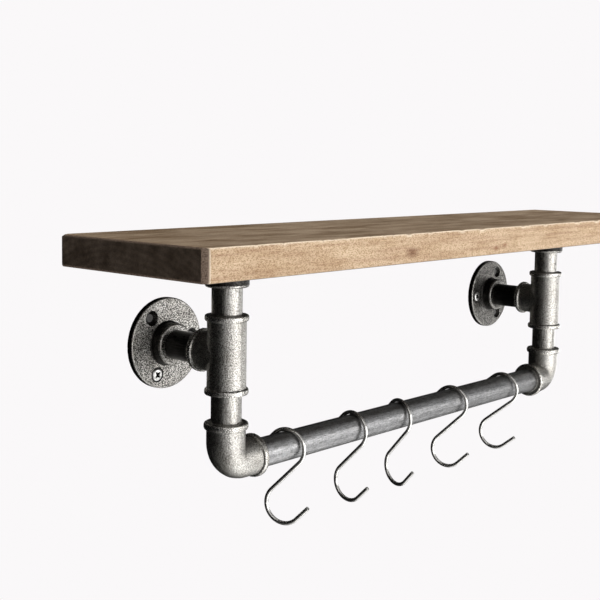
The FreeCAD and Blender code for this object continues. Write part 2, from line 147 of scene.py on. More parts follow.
def new_piece(name, grids, materials=(), roughen=None, sharp=None):
    """Make one object of several grids, each (points, ring, loop), weld their seams and turn
    their faces outwards. roughen(points) gives how far each point moves along its normal, and
    edges that turn by more than sharp, in degrees, stay sharp."""
    points, quads, first = [], [], 0
    for grid, ring, loop in grids:
        quads.append(net(grid, first, ring, loop))
        points.append(grid.reshape(-1, 3))
        first += len(points[-1])
    mesh = bpy.data.meshes.new(name)
    fill_mesh(mesh, np.vstack(points), np.vstack(quads))
    tidy_mesh(mesh)
    if roughen:
        roughen_mesh(mesh, roughen)
    if sharp:
        mesh.set_sharp_from_angle(angle=np.radians(sharp))
    for material in materials:
        mesh.materials.append(material)
    return put_in_scene(name, mesh)


def tidy_mesh(mesh):
    """Weld points that meet, drop faces of no size, turn the rest outwards and shade smooth."""
    work = bmesh.new()
    work.from_mesh(mesh)
    bmesh.ops.remove_doubles(work, verts=work.verts, dist=1e-6)
    bmesh.ops.dissolve_degenerate(work, edges=work.edges, dist=1e-7)
    bmesh.ops.recalc_face_normals(work, faces=work.faces)
    work.to_mesh(mesh)
    work.free()
    mesh.shade_smooth()


def read_points(mesh):
    """A mesh's points as rows of x, y, z."""
    points = np.empty(len(mesh.vertices) * 3, np.float32)
    mesh.vertices.foreach_get("co", points)
    return points.reshape(-1, 3).astype(float)


def face_middles(mesh):
    """The middles of a mesh's faces as rows of x, y, z."""
    middles = np.empty(len(mesh.polygons) * 3, np.float32)
    mesh.polygons.foreach_get("center", middles)
    return middles.reshape(-1, 3)


def roughen_mesh(mesh, roughen):
    """Move each point of a mesh along its normal by roughen(points)."""
    points = read_points(mesh)
    normals = np.empty(len(points) * 3, np.float32)
    mesh.vertex_normals.foreach_get("vector", normals)
    rough = points + normals.reshape(-1, 3) * roughen(points)[:, None]
    mesh.vertices.foreach_set("co", rough.ravel())
    mesh.update()


def turned(points, turn, origin):
    """Points turned by the rows of a 3 x 3 matrix, then moved to an origin."""
    return points @ np.asarray(turn).T + np.asarray(origin)


def colour(code):
    """A colour's sRGB hex code as the linear values that the shaders take."""
    value = np.array([int(code[i:i + 2], 16) for i in (1, 3, 5)]) / 255
    linear = np.where(value <= 0.04045, value / 12.92, ((value + 0.055) / 1.055) ** 2.4)
    return (*linear, 1.0)


def new_material(name):
    """An empty node material, with its tree and its Principled BSDF."""
    material = bpy.data.materials.new(name)
    material.use_nodes = True
    return material, material.node_tree, material.node_tree.nodes["Principled BSDF"]


def put(tree, socket, value):
    """Give an input a value: a number or a row of them, a colour's hex code, or an output."""
    if isinstance(value, bpy.types.NodeSocket):
        tree.links.new(value, socket)
    else:
        socket.default_value = colour(value) if isinstance(value, str) else value


def fill(tree, node, **values):
    """Set a node's properties and inputs by name, with low lines for spaces."""
    for name, value in values.items():
        if hasattr(node, name):
            setattr(node, name, value)
        else:
            put(tree, node.inputs[name.replace("_", " ")], value)
    return node


def add(tree, kind, **values):
    """Add a shader node, with its properties and inputs by name."""
    return fill(tree, tree.nodes.new(f"ShaderNode{kind}"), **values)


def ramp(tree, fac, *stops):
    """A colour ramp through (place, hex code) stops, and its colour output."""
    node = add(tree, "ValToRGB", Fac=fac)
    elements = node.color_ramp.elements
    while len(elements) < len(stops):
        elements.new(0.5)
    for element, (place, code) in zip(elements, stops):
        element.position = place
        element.color = colour(code)
    return node.outputs["Color"]


# Malleable iron, sand cast, tumbled and oiled: a grey skin whose grains are worn bright, with
# dark pits between them, so it reads as a salt and pepper speckle about a millimetre across.
GRAIN = 0.8 * MM
PIT = 0.65 * MM
STAIN = 16 * MM


def blend(tree, a, b, factor=1.0, kind="MULTIPLY"):
    """Blend two colours in one of the Mix node's ways."""
    return add(tree, "Mix", data_type="RGBA", blend_type=kind, Factor=factor, A=a,
               B=b).outputs["Result"]


def noise(tree, place, size, detail=2.0, roughness=0.5):
    """Smooth noise whose lumps are about one size across, in metres."""
    return add(tree, "TexNoise", Scale=1 / size, Detail=detail, Roughness=roughness,
               Vector=place).outputs["Fac"]


def stretched(tree, place, factors):
    """A place scaled along each axis: a factor under one draws a pattern out along that axis."""
    return add(tree, "Mapping", Vector=place, Scale=factors).outputs["Vector"]


def maths(tree, operation, *values, kind="Math", result="Value"):
    """An operation on numbers or outputs, or on vectors with their own kind and result."""
    node = add(tree, kind, operation=operation)
    for socket, value in zip(node.inputs, values):
        put(tree, socket, value)
    return node.outputs[result]


def moved(tree, place, shift):
    """A place as seen from a point."""
    return maths(tree, "SUBTRACT", place, shift, kind="VectorMath", result="Vector")


def raised(tree, height, depth, strength, **under):
    """A bump as deep as given over the surface, or over the Normal under it."""
    return add(tree, "Bump", Distance=depth, Strength=strength, Height=height,
               **under).outputs["Normal"]


def spread(tree, value, low=0.0, high=1.0, start=0.0, end=1.0):
    """A value from start to end spread between low and high, and held there beyond them."""
    return add(tree, "MapRange", Value=value, From_Min=start, From_Max=end, To_Min=low,
               To_Max=high).outputs["Result"]


def iron_material(name, tones, contrast, pit_tone, depth, gloss):
    """Cast iron: its grains run through the tones from dark to bright, the more sharply the
    greater the contrast, pits darken it to the pit tone, and both stand up by about the depth.
    Its roughness is between the two of gloss."""
    material, tree, shader = new_material(name)
    place = add(tree, "TexCoord").outputs["Object"]
    grain = noise(tree, place, GRAIN, 3.0, 0.65)
    pit = noise(tree, moved(tree, place, (0.5, 0.5, 0.5)), PIT, 1.0)
    worn = ramp(tree, grain, *zip((0.5 - 0.1 / contrast, 0.5, 0.5 + 0.1 / contrast), tones))
    pitted = ramp(tree, pit, (0.36, pit_tone), (0.46, "#ffffff"))
    stained = ramp(tree, noise(tree, place, STAIN, 3.0), (0.3, "#dddbd8"), (0.7, "#ffffff"))
    skin = blend(tree, blend(tree, worn, pitted), stained)
    fine = raised(tree, pit, depth / 2, 0.9)
    fill(tree, shader, Base_Color=skin, Roughness=spread(tree, grain, *gloss),
         Normal=raised(tree, grain, depth, 0.9, Normal=fine), Metallic=1.0)
    return material


# The flanges are coarse from the mould, with a hard speckle. The left wall flange gets pale tones,
# and the others a darker copy of the same iron: painted shade, as the board flanges sit in the
# board's shadow. Hub sides, disc sides and screw holes get a nearly black smooth copy, painted
# shade, and rims and edges a bright copy, worn to bright metal and partly a painted highlight.
COARSE = 1.6
FLANGE_GLOSS = (0.3, 0.46)
EDGE_GLOSS = (0.24, 0.38)
flange_iron = iron_material("malleable_iron_coarse", ("#42413f", "#8b8985", "#e9e7e2"), COARSE,
                            "#64625e", 0.3 * MM, FLANGE_GLOSS)
# Painted shade: a darker copy of the coarse iron, for all flanges but the left wall flange.
painted_shade_iron = iron_material("malleable_iron_painted_shade", ("#282726", "#555350", "#b5b3ae"), COARSE,
                           "#64625e", 0.3 * MM, FLANGE_GLOSS)
# Painted shade: a nearly black, smooth copy for the hub sides, disc sides and screw holes.
painted_deep_shade_iron = iron_material("malleable_iron_painted_deep_shade", ("#1d1d1c", "#2e2d2c", "#53514e"), 1.0,
                            "#8b8985", 0.2 * MM, FLANGE_GLOSS)
# Partly a painted highlight: a bright, glossier copy for the worn rims and edges.
edge_iron = iron_material("malleable_iron_edge", ("#6b6966", "#a09e9a", "#e0ded9"), 1.0,
                          "#8b8985", 0.2 * MM, EDGE_GLOSS)

flange_low, flange_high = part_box("right_board_flange")
disc_r = (flange_high.x - flange_low.x) / 2
flange_reach = flange_high.z - flange_low.z

section = np.vstack([
    [[THREAD_R, 0], [disc_r - BACK_BREAK, 0], [disc_r, BACK_BREAK]],
    arc((disc_r - RIM_ROUND, DISC_THICKNESS - RIM_ROUND), RIM_ROUND, 0, 90, 7),
    arc((HUB_R + ROOT_ROUND, DISC_THICKNESS + ROOT_ROUND), ROOT_ROUND, 270, 180, 7),
    arc((HUB_R - HUB_ROUND, flange_reach - HUB_ROUND), HUB_ROUND, 0, 90, 9),
    [[THREAD_R + THREAD_BREAK, flange_reach], [THREAD_R, flange_reach - THREAD_BREAK]],
])
solid = lathe(evenly(section, SECTION_STEP, True), ROUND_STEP)
blank = new_piece("flange_blank", [(solid, True, True)])
front = DISC_THICKNESS + CUT_OVER
tool = np.array([
    [0, -CUT_OVER], [HOLE_R, -CUT_OVER], [HOLE_R, DISC_THICKNESS - (SINK_R - HOLE_R)],
    [SINK_R, DISC_THICKNESS], [SINK_R + CUT_OVER, front], [0, front]])
angle = 2 * np.pi * np.arange(HOLE_COUNT) / HOLE_COUNT
holes = HOLE_CIRCLE_R * np.stack([np.cos(angle), np.sin(angle), 0 * angle], 1)
for hole in holes:
    cut = blank.modifiers.new("hole", "BOOLEAN")
    cut.operation = "DIFFERENCE"
    cut.solver = "EXACT"
    cut.object = new_piece("hole_cutter", [(lathe(tool, CUT_STEP), True, False)])
    placed = read_points(cut.object.data) + hole
    cut.object.data.vertices.foreach_set("co", placed.ravel())
bpy.context.view_layer.update()
whole = blank.evaluated_get(bpy.context.evaluated_depsgraph_get())
casting = bpy.data.meshes.new_from_object(whole)
for spare in [blank] + [cut.object for cut in blank.modifiers]:
    bpy.data.objects.remove(spare)

# The hub's rim and the disc's front edge get the bright copy, worn bright and partly a painted
# highlight; the hub's side, the disc's rim and the screw holes get the nearly black copy, painted
# shade.
DEEP_SHADE, WORN_AND_HIGHLIT = 1, 2
middles = face_middles(casting)
out, high = np.linalg.norm(middles[:, :2], axis=1), middles[:, 2]
hub_rim = (out > HUB_R - HUB_ROUND) & (high > flange_reach - HUB_ROUND)
hub_side = ((out > HUB_R - HUB_ROUND) & (out < HUB_R + 0.9 * ROOT_ROUND)
            & (high > DISC_THICKNESS + 0.05 * MM))
disc_rim = (out > disc_r - RIM_ROUND) & (high > DISC_THICKNESS - RIM_ROUND)
disc_side = (out > disc_r - 0.4 * MM) & (high < DISC_THICKNESS - RIM_ROUND)
from_holes = np.linalg.norm(middles[:, None, :2] - holes[:, :2], axis=2).min(1)
# Painted shade: the hub's side, the disc's side and the screw holes get the nearly black copy.
deep_shade = hub_side | disc_side | (from_holes < SINK_R - 0.1 * MM)
# Rims get the bright copy, worn and partly a painted highlight; sides and holes the near-black
# copy.
wear_and_shade = np.where(hub_rim | disc_rim, WORN_AND_HIGHLIT, deep_shade * DEEP_SHADE).astype(np.int32)

# A flange's own Z leads from its back to its hub: out of the wall, or down from the board. Each
# is turned on its pipe by as much as its thread happened to stop at.
wall_turns = {"left": 7.0, "right": 182.0}
board_turns = {"left": 90.0, "right": 90.0}
FACING_ROOM = Matrix.Rotation(np.pi / 2, 3, "X")
FACING_DOWN = Matrix.Rotation(np.pi, 3, "X")
for side in SIDES:
    for use, facing, turns in (("wall", FACING_ROOM, wall_turns),
                               ("board", FACING_DOWN, board_turns)):
        node = f"{side}_{use}_flange"
        low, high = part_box(node)
        middle = (low + high) / 2
        seat = (middle.x, high.y, middle.z) if use == "wall" else (middle.x, middle.y, high.z)
        turn = facing @ Matrix.Rotation(np.radians(turns[side]), 3, "Z")
        mesh = casting.copy()
        mesh.name = f"{node}_casting"
        mesh.vertices.foreach_set("co", turned(read_points(mesh), turn, seat).ravel())
        mesh.shade_smooth()
        mesh.set_sharp_from_angle(angle=np.radians(38))
        roughen_mesh(mesh, lambda points: peel(points, 11))
        piece = put_in_scene(f"{node}_casting", mesh)
        mesh.materials.clear()
        # The left wall flange keeps the pale iron; the others get its darker copy, painted shade.
        mesh.materials.append(flange_iron if node == "left_wall_flange" else painted_shade_iron)
        mesh.materials.append(painted_deep_shade_iron)
        mesh.materials.append(edge_iron)
        mesh.polygons.foreach_set("material_index", wear_and_shade)
        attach(piece, "shelf")
        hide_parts(node)

# ---- Tees ----
# Equal tees of the same cast iron: a run along the leg and a branch to the wall, each mouth with
# a rolled bead, and a cast fillet of a few millimetres where the branch leaves the run.

BODY_R = 13.6 * MM
TEE_BEAD = (4.2 * MM, 1.65 * MM)
BEAD_POWER = 2.8
FILLET_R = 2.5 * MM
PIPE_R = 10.65 * MM
BURR_R = 0.4 * MM
MOUTH_BREAK = 0.5 * MM
SKIN_STEP = 0.5 * MM
SEAM_HEIGHT = 0.16 * MM
SEAM_WIDTH = 0.45 * MM

# The fittings are tumbled longer than the flanges, to a pale even grey with a soft speckle, and
# their beads get brighter, glossier tones still: rubbed, and partly a painted highlight.
fitting_iron = iron_material("malleable_iron_tumbled", ("#8a8884", "#b1afaa", "#d8d6d1"), 1.0,
                             "#93918d", 0.28 * MM, EDGE_GLOSS)
# Partly a painted highlight: the beads' brighter, glossier copy of the iron.
bead_iron = iron_material("malleable_iron_worn_and_highlit", ("#a5a39f", "#cbc9c4", "#efede8"), 1.0,
                          "#a5a39f", 0.24 * MM, (0.2, 0.32))


def bead(reach, size):
    """The profile (radius, height) of a fitting's mouth: its bead of a size (length, rise), the
    flat face inside it, the burr that the tap raises round the thread, and the start of the
    thread. The bead is a band with round edges, |along / half| ^ p + |out / rise| ^ p = 1."""
    half, rise = size[0] / 2, size[1]
    angle = np.radians(np.linspace(-90, 90, 21))
    out = rise * np.cos(angle).clip(0) ** (2 / BEAD_POWER)
    along = half * np.sign(angle) * abs(np.sin(angle)) ** (2 / BEAD_POWER)
    crown = np.stack([BODY_R + out, reach - half + along], 1)
    burr = arc((PIPE_R + BURR_R, reach), BURR_R, 0, 180, 7)
    mouth = [[THREAD_R + MOUTH_BREAK, reach], [THREAD_R, reach - MOUTH_BREAK]]
    return np.vstack([crown, burr, mouth])


def mark_worn_highlit_beads(mesh, centre, length, mouths):
    """Give the faces of the beads the mesh's second material. Each mouth is (way, reach): a face
    is on its bead if it lies within the bead's length of the mouth along the way, and further
    out from the way than the body's radius."""
    middles = face_middles(mesh) - centre
    worn = np.zeros(len(middles), np.int32)
    for way, reach in mouths:
        along = middles @ np.array(way, float)
        out = np.sqrt((middles ** 2).sum(1) - along ** 2)
        worn |= (along > reach - length) & (along < reach) & (out > BODY_R + 0.2 * MM)
    mesh.polygons.foreach_set("material_index", worn)


def seam(points, middle, axis):
    """The height of the ground-off parting line that a mould leaves on a casting, where the
    plane across one axis through its middle cuts the skin: a ridge, e ^ -((distance / w) ^ 2)."""
    away = (points[:, axis] - middle[axis]) / SEAM_WIDTH
    return SEAM_HEIGHT * np.exp(-away ** 2)


def branch_skin(reach, columns):
    """The branch and its fillet, for a branch along Y from a run along Z, both of one radius R.
    A ball of radius f rolls in the corner: at the angle b round the branch its centre is
    (A sin b, A |cos b|, A cos b) with A = R + f, and it touches the branch at
    (R sin b, A |cos b|, R cos b) and the run at (R sin b, R |cos b|, A cos b). The fillet is its
    arc between the two. Rows lead from the mouth's inside to just under the run's skin."""
    b = 2 * np.pi * np.arange(columns) / columns
    sine, cosine = np.sin(b), np.cos(b)
    lift = np.abs(cosine)
    across = BODY_R + FILLET_R
    centre = across * np.stack([sine, lift, cosine], -1)
    on_branch = np.stack([BODY_R * sine, across * lift, BODY_R * cosine], -1) - centre
    on_run = np.stack([BODY_R * sine, BODY_R * lift, across * cosine], -1) - centre
    share = np.linspace(0, 1, 10)[:, None, None]
    between = on_branch * (1 - share) + on_run * share
    length = np.maximum(np.linalg.norm(between, axis=-1, keepdims=True), 1e-9)
    fillet = centre + between * FILLET_R / length
    mouth = evenly(bead(reach, TEE_BEAD)[::-1], SKIN_STEP)
    round_it = np.stack([sine, 0 * b, cosine], -1)
    rows = mouth[:, 0, None, None] * round_it + mouth[:, 1, None, None] * np.array([0, 1, 0])
    foot = rows[-1]
    steps = int((reach - TEE_BEAD[0]) / SKIN_STEP)
    wall = foot + (fillet[0] - foot) * np.linspace(0, 1, steps)[1:-1, None, None]
    under = fillet[-1] * np.array([0.96, 0.96, 1.0])
    inner = np.stack([THREAD_R * sine, 0 * b, THREAD_R * cosine], -1)
    return np.concatenate([rows, wall, fillet, under[None], inner[None]])


for side in SIDES:
    node = f"{side}_tee"
    low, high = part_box(node)
    leg_low, leg_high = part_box(f"{side}_lower_nipple")
    reach = (high.z - low.z) / 2
    centre = np.array([(leg_low.x + leg_high.x) / 2, (leg_low.y + leg_high.y) / 2, high.z - reach])
    mouth = bead(reach, TEE_BEAD)
    run = lathe(evenly(np.vstack([mouth, mouth[::-1] * [1, -1]]), SKIN_STEP, True), SKIN_STEP)
    branch = branch_skin(high.y - centre[1], run.shape[1])
    grids = [(run + centre, True, True), (branch + centre, True, True)]
    piece = new_piece(f"{node}_casting", grids, (fitting_iron, bead_iron),
                      lambda points: peel(points, 12) + seam(points, centre, 0))
    mouths = [((0, 0, 1), reach), ((0, 0, -1), reach), ((0, 1, 0), high.y - centre[1])]
    mark_worn_highlit_beads(piece.data, centre, TEE_BEAD[0], mouths)
    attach(piece, "shelf")
    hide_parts(node)

# ---- Elbows ----
# Ninety degree elbows of the same malleable iron, sand cast and tapped, with one mouth up to the
# leg and one towards the rail, both screwed tight on their pipes.

ELBOW_BEAD = (4.8 * MM, 1.85 * MM)
BEND_R = 14.5 * MM
CREASE_POWER = 2.5

# The elbows get a paler copy of the fittings' iron: painted light, for the light they catch from
# below and in front.
elbow_iron = iron_material("malleable_iron_painted_light", ("#959390", "#bab8b3", "#dedcd7"), 1.0,
                           "#a19f9b", 0.28 * MM, EDGE_GLOSS)


def swept(path, columns, profile):
    """Carry a circle along a path. Each row of profile is (radius, place along the path), and the
    path gives the point there, a direction across it and the way forth; the circle's other
    direction stands across both."""
    radius, along = profile[:, 0], profile[:, 1]
    point, across, forth = path(along)
    up = np.cross(forth, across)
    angle = 2 * np.pi * np.arange(columns) / columns
    ring = (np.cos(angle)[None, :, None] * across[:, None]
            + np.sin(angle)[None, :, None] * up[:, None])
    return point[:, None] + radius[:, None, None] * ring


def elbow_path(reach):
    """Where the elbow's centre line runs: down to the bend, a quarter turn, then along X. The
    place is the length from the upper mouth."""
    straight = reach - BEND_R
    quarter = BEND_R * np.pi / 2

    def path(along):
        turn = np.clip((along - straight) / BEND_R, 0, np.pi / 2)
        down = np.minimum(along, straight)
        level = np.maximum(along - straight - quarter, 0)
        x = BEND_R * (1 - np.cos(turn)) + level
        z = reach - down - BEND_R * np.sin(turn)
        forth = np.stack([np.sin(turn), 0 * turn, -np.cos(turn)], -1)
        across = np.tile([0.0, 1.0, 0.0], (len(along), 1))
        return np.stack([x, 0 * x, z], -1), across, forth
    return path, 2 * straight + quarter


def crease(skin, profile, reach):
    """Pull an elbow's inner side in, so that its two straight bodies meet in a crease. A point of
    the bend that lies w from the centre line towards the corner goes along an L, from (w, bend)
    by (w, w) to (bend, w), whose corner is rounded by a radius f. With the angle a round the body
    from the inner side, f = bend - body + body * (1 - cos a) ^ power."""
    inner = np.sin(2 * np.pi * np.arange(skin.shape[1]) / skin.shape[1])
    share = (profile[:, 1:] - reach + BEND_R) / (BEND_R * np.pi / 2)
    w = profile[:, :1] * inner
    sharp = BEND_R - BODY_R + BODY_R * (1 - inner) ** CREASE_POWER
    fillet = np.clip(sharp, 0.1 * MM, np.maximum(BEND_R - w, 0.1 * MM))
    side = np.sign(share - 0.5)
    gone = np.abs(share - 0.5) * (2 * (BEND_R - w - fillet) + fillet * np.pi / 2)
    swing = np.pi / 4 + side * np.clip(gone / fillet, 0, np.pi / 4)
    past = side * np.maximum(gone - fillet * np.pi / 4, 0)
    x = w + fillet * (1 - np.cos(swing)) + np.maximum(past, 0)
    z = w + fillet * (1 - np.sin(swing)) + np.maximum(-past, 0)
    bent = (share >= 0) & (share <= 1) & (inner > 0)
    return np.where(bent[..., None], np.stack([x, skin[..., 1], z], -1), skin)


for side, sign in SIDES.items():
    node = f"{side}_elbow"
    low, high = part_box(node)
    leg_low, leg_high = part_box(f"{side}_lower_nipple")
    leg = (leg_low + leg_high) / 2
    reach = abs((high.x if sign < 0 else low.x) - leg.x)
    centre = np.array([leg.x, leg.y, high.z - reach])
    path, length = elbow_path(reach)
    mouth = bead(reach, ELBOW_BEAD)
    start = np.stack([mouth[:, 0], reach - mouth[:, 1]], 1)[::-1]
    end = np.stack([mouth[:, 0], length - reach + mouth[:, 1]], 1)
    profile = evenly(np.vstack([start, end]), SKIN_STEP, True)
    skin = crease(swept(path, int(2 * np.pi * BODY_R / SKIN_STEP), profile), profile, reach)
    skin = skin * np.array([-sign, 1, 1]) + centre
    piece = new_piece(f"{node}_casting", [(skin, True, True)], (elbow_iron, bead_iron),
                      lambda points: peel(points, 13) + seam(points, centre, 1))
    mouths = [((0, 0, 1), reach), ((-sign, 0, 0), reach)]
    mark_worn_highlit_beads(piece.data, centre, ELBOW_BEAD[0], mouths)
    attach(piece, "shelf")
    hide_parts(node)

# ---- Pipes: nipples and hook rail ----
# Half-inch steel pipe, drawn, cut to length and threaded at both ends. The legs and the rail are
# brushed bright, with lines along them and cloudy mill scale; the wall nipples are left black.

STREAK = 0.6 * MM
STREAK_LENGTH = 12 * MM
SCALE_SPOT = 3.5 * MM
LINE_DEPTH = 0.03 * MM
GRIT_DEPTH = 0.34 * MM


def pipe_material(name, axis, tones, gloss, grit):
    """Drawn pipe: streaks in three tones that run along its axis over patches of mill scale, with
    a roughness between the two of gloss. grit is the strength of the fine grain in it."""
    material, tree, shader = new_material(name)
    place = add(tree, "TexCoord").outputs["Object"]
    factors = [1.0, 1.0, 1.0]
    factors[axis] = STREAK / STREAK_LENGTH
    streak = noise(tree, stretched(tree, place, factors), STREAK, 3.0, 0.6)
    scale = noise(tree, place, SCALE_SPOT, 3.0, 0.6)
    grain = noise(tree, place, GRAIN, 1.0)
    lined = ramp(tree, streak, *zip((0.32, 0.5, 0.68), tones))
    cloudy = ramp(tree, scale, (0.3, "#dddcda"), (0.6, "#ffffff"))
    grainy = ramp(tree, grain, (0.36, "#8f8d89"), (0.56, "#ffffff"))
    skin = blend(tree, blend(tree, lined, cloudy), grainy, grit)
    lines = raised(tree, streak, LINE_DEPTH, 0.4)
    fill(tree, shader, Base_Color=skin, Roughness=spread(tree, scale, *gloss),
         Normal=raised(tree, grain, GRIT_DEPTH, grit, Normal=lines), Metallic=1.0)
    return material


THREAD_LENGTH = 13.0 * MM
SPIGOT_R = 10.0 * MM
PIPE_BORE_R = 8.0 * MM
THREAD_LEAD = 0.8 * MM
upright = Matrix.Identity(3)
to_right = Matrix.Rotation(np.pi / 2, 3, "Y")
BRUSHED = ("#8f8f90", "#a5a5a6", "#bfbfc0")
PALE_BRUSHED = ("#94928e", "#b8b6b1", "#dbd9d4")
BLACK_PIPE = ("#2f2e2d", "#3c3b3a", "#4b4a48")

# The rail is a mid grey whose lines draw its reflections out, the legs are paler and grainier,
# and the wall nipples nearly black with a soft sheen.
rail_steel = pipe_material("brushed_steel_pipe_along_x", 0, BRUSHED, (0.28, 0.42), 0.45)
wall_steel = pipe_material("black_steel_pipe_along_y", 1, BLACK_PIPE, (0.2, 0.4), 0.3)
leg_steel = pipe_material("brushed_steel_pipe_along_z", 2, PALE_BRUSHED, (0.22, 0.36), 0.8)
pipes = {"rail_pipe": (0, to_right, rail_steel)}
for side in SIDES:
    pipes[f"{side}_upper_nipple"] = (2, upright, leg_steel)
    pipes[f"{side}_lower_nipple"] = (2, upright, leg_steel)
    pipes[f"{side}_wall_nipple"] = (1, FACING_ROOM, wall_steel)
for node, (axis, turn, material) in pipes.items():
    low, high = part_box(node)
    length = high[axis] - low[axis]
    pipe_r = (high[(axis + 1) % 3] - low[(axis + 1) % 3]) / 2
    end = length / 2
    half = np.array([[PIPE_BORE_R, end], [SPIGOT_R - THREAD_LEAD, end],
                     [SPIGOT_R, end - THREAD_LEAD], [SPIGOT_R, end - THREAD_LENGTH],
                     [pipe_r, end - THREAD_LENGTH]])
    profile = evenly(np.vstack([half, half[::-1] * [1, -1]]), 4 * MM, True)
    tube = turned(lathe(profile, 0.6 * MM), turn, (low + high) / 2)
    piece = new_piece(f"{node}_tube", [(tube, True, True)], [material], sharp=35)
    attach(piece, "shelf")
    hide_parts(node)

# ---- Board ----
# One softwood plank, planed, its upright corners cut off and its long edges eased, then brushed,
# stained and waxed. The top and the end grain are darker, partly the stain sitting dark there and
# partly painted shade.

FRONT_CUT = 3.5 * MM
BACK_CUT = 1.8 * MM
EDGE_ROUND = 1.2 * MM
CHIP_DEPTH = 0.5 * MM
CHIP_REACH = 2.6 * MM
CHIP_WAVES = 24
KNOCK = (6.0 * MM, 4.4 * MM, 2.6 * MM)
low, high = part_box("shelf_board")
length, depth, thickness = high - low
middle = np.array((low + high) / 2)

# The board's section is a rectangle with small rounded corners, a closed loop of (y, z) rows.
corners = []
for y, z, start in ((1, -1, 270), (1, 1, 0), (-1, 1, 90), (-1, -1, 180)):
    centre = (y * (depth / 2 - EDGE_ROUND), z * (thickness / 2 - EDGE_ROUND))
    corners.append(arc(centre, EDGE_ROUND, start, start + 90, 5))
ring = evenly(np.vstack(corners), 2.0 * MM, True)
ends = np.array([0, 0.15, 0.5, 1.0, 1.2, 2.0, 3.5, 5.0]) * MM
inner = np.arange(-length / 2 + 7 * MM, length / 2 - 6 * MM, 1.5 * MM)
along = np.concatenate([-length / 2 + ends, inner, length / 2 - ends[::-1]])
from_end = length / 2 - np.abs(along)
front_cut = np.clip(FRONT_CUT - from_end, 0, None)[:, None]
back_cut = np.clip(BACK_CUT - from_end, 0, None)[:, None]
past = np.clip(EDGE_ROUND - from_end, 0, None)
ease = EDGE_ROUND - np.sqrt(np.clip(EDGE_ROUND ** 2 - past ** 2, 0, None))
to_back = 0.5 + ring[:, 0] / depth
across = ring[:, 0] + front_cut * (1 - to_back) - back_cut * to_back
scale_z = (thickness / 2 - ease) / (thickness / 2)
plank = np.stack([along[:, None] + 0 * ring[:, 0], across, ring[:, 1] * scale_z[:, None]], -1)
caps = []
for end in (plank[0], plank[-1]):
    inward = end * np.array([0, 0, -1]) * np.linspace(0, 1, 6)[:, None, None]
    caps.append(end + inward)
plank = np.concatenate([caps[0][:0:-1], plank, caps[1][1:]])


def chips(x, seed):
    """How deep an edge is chipped along x: the sum of waves 5 to 45 mm long, cut off below, so
    that it comes in short runs with whole edge between them."""
    rng = np.random.default_rng(seed)
    length = rng.uniform(5, 45, CHIP_WAVES) * MM
    phase = rng.uniform(0, 2 * np.pi, CHIP_WAVES)
    total = np.cos(2 * np.pi * x[:, None] / length + phase).sum(1) / np.sqrt(CHIP_WAVES / 2)
    return CHIP_DEPTH * np.clip(total - 0.7, 0, 1.2)


front_arris = np.array([-depth / 2, thickness / 2])
away = np.linalg.norm(plank[..., 1:] - front_arris, axis=-1)
pull = chips(plank[:, 0, 0], 21)[:, None] * np.clip(1 - away / CHIP_REACH, 0, 1)
plank[..., 1] += pull
plank[..., 2] -= pull

# The left end's upper back corner has been knocked off, as a plane through three edges cuts it.
from_left, from_back, from_top = np.moveaxis(
    np.array([1, -1, -1]) * plank + np.array([length, depth, thickness]) / 2, -1, 0)
share = 1 - from_left / KNOCK[0] - from_back / KNOCK[1]
plank[..., 2] -= np.clip(KNOCK[2] * share - from_top, 0, None)

# Pine, brushed, stained and waxed. Each face's colour is set by the way it looks: the planed front
# stays light; the top is darker, partly the stain sunk in and partly painted shade; the end grain
# is nearly black, partly the stain it soaks up and partly painted shade; the underside is a dark
# neutral grey, painted shade. Edges are pale, rubbed through to pale wood and partly a painted
# highlight, streaks follow the grain, rings curve in the ends, and a few small knots show on the
# front.
RING_STEP = 4.5 * MM
WAVE_STEP = np.pi / 10  # between the wave node's rings at a scale of 1
PITH = (0, -0.06, -0.06)
FRONT_KNOTS = ((-0.104, 0.069, 4.0, "#b39a8c"), (0.006, 0.066, 2.2, "#bd9478"),
               (0.019, 0.068, 1.8, "#c09a80"), (0.232, 0.074, 2.6, "#b89c86"))

board_wood, tree, shader = new_material("pine_brushed_and_stained")
place = add(tree, "TexCoord").outputs["Object"]
from_pith = stretched(tree, moved(tree, place, PITH), (0.12, 1, 1))
rings = add(tree, "TexWave", wave_type="RINGS", rings_direction="X", Distortion=4.0,
            Detail_Scale=0.6, Scale=WAVE_STEP / RING_STEP, Vector=from_pith).outputs["Fac"]
streak = noise(tree, stretched(tree, place, (0.035, 1, 1)), 2.2 * MM, 5.0, 0.62)
broad = noise(tree, stretched(tree, place, (0.3, 1, 1)), 15 * MM, 5.0, 0.65)
fibre = noise(tree, stretched(tree, place, (0.6, 1, 1)), 0.55 * MM, 1.0)

front_tone = ramp(tree, streak, (0.32, "#c6a688"), (0.5, "#d7bc9c"), (0.68, "#e4cbab"))
front_grain = ramp(tree, fibre, (0.36, "#cbbca8"), (0.54, "#ffffff"))
front_cloud = ramp(tree, broad, (0.38, "#eae3da"), (0.58, "#ffffff"))
front = blend(tree, blend(tree, front_tone, front_grain), front_cloud)
for x, z, size, tone in FRONT_KNOTS:
    near = stretched(tree, moved(tree, place, (x, 0, z)), (0.5, 0, 1))
    reach = maths(tree, "LENGTH", near, kind="VectorMath")
    ragged = maths(tree, "MULTIPLY_ADD", broad, size * MM, reach)
    spot = spread(tree, ragged, start=1.7 * size * MM, end=0.5 * size * MM)
    front = blend(tree, front, tone, spot)

# The top: a darker grey-brown, partly the stain and partly painted shade.
face_tone = ramp(tree, streak, (0.3, "#97856f"), (0.5, "#a9947c"), (0.7, "#b6a28a"))
face_cloud = ramp(tree, broad, (0.36, "#bdb2a2"), (0.6, "#ffffff"))
fuzz = ramp(tree, fibre, (0.3, "#cbc4bc"), (0.66, "#ffffff"))
top_stain_and_shade = blend(tree, blend(tree, face_tone, face_cloud), fuzz)
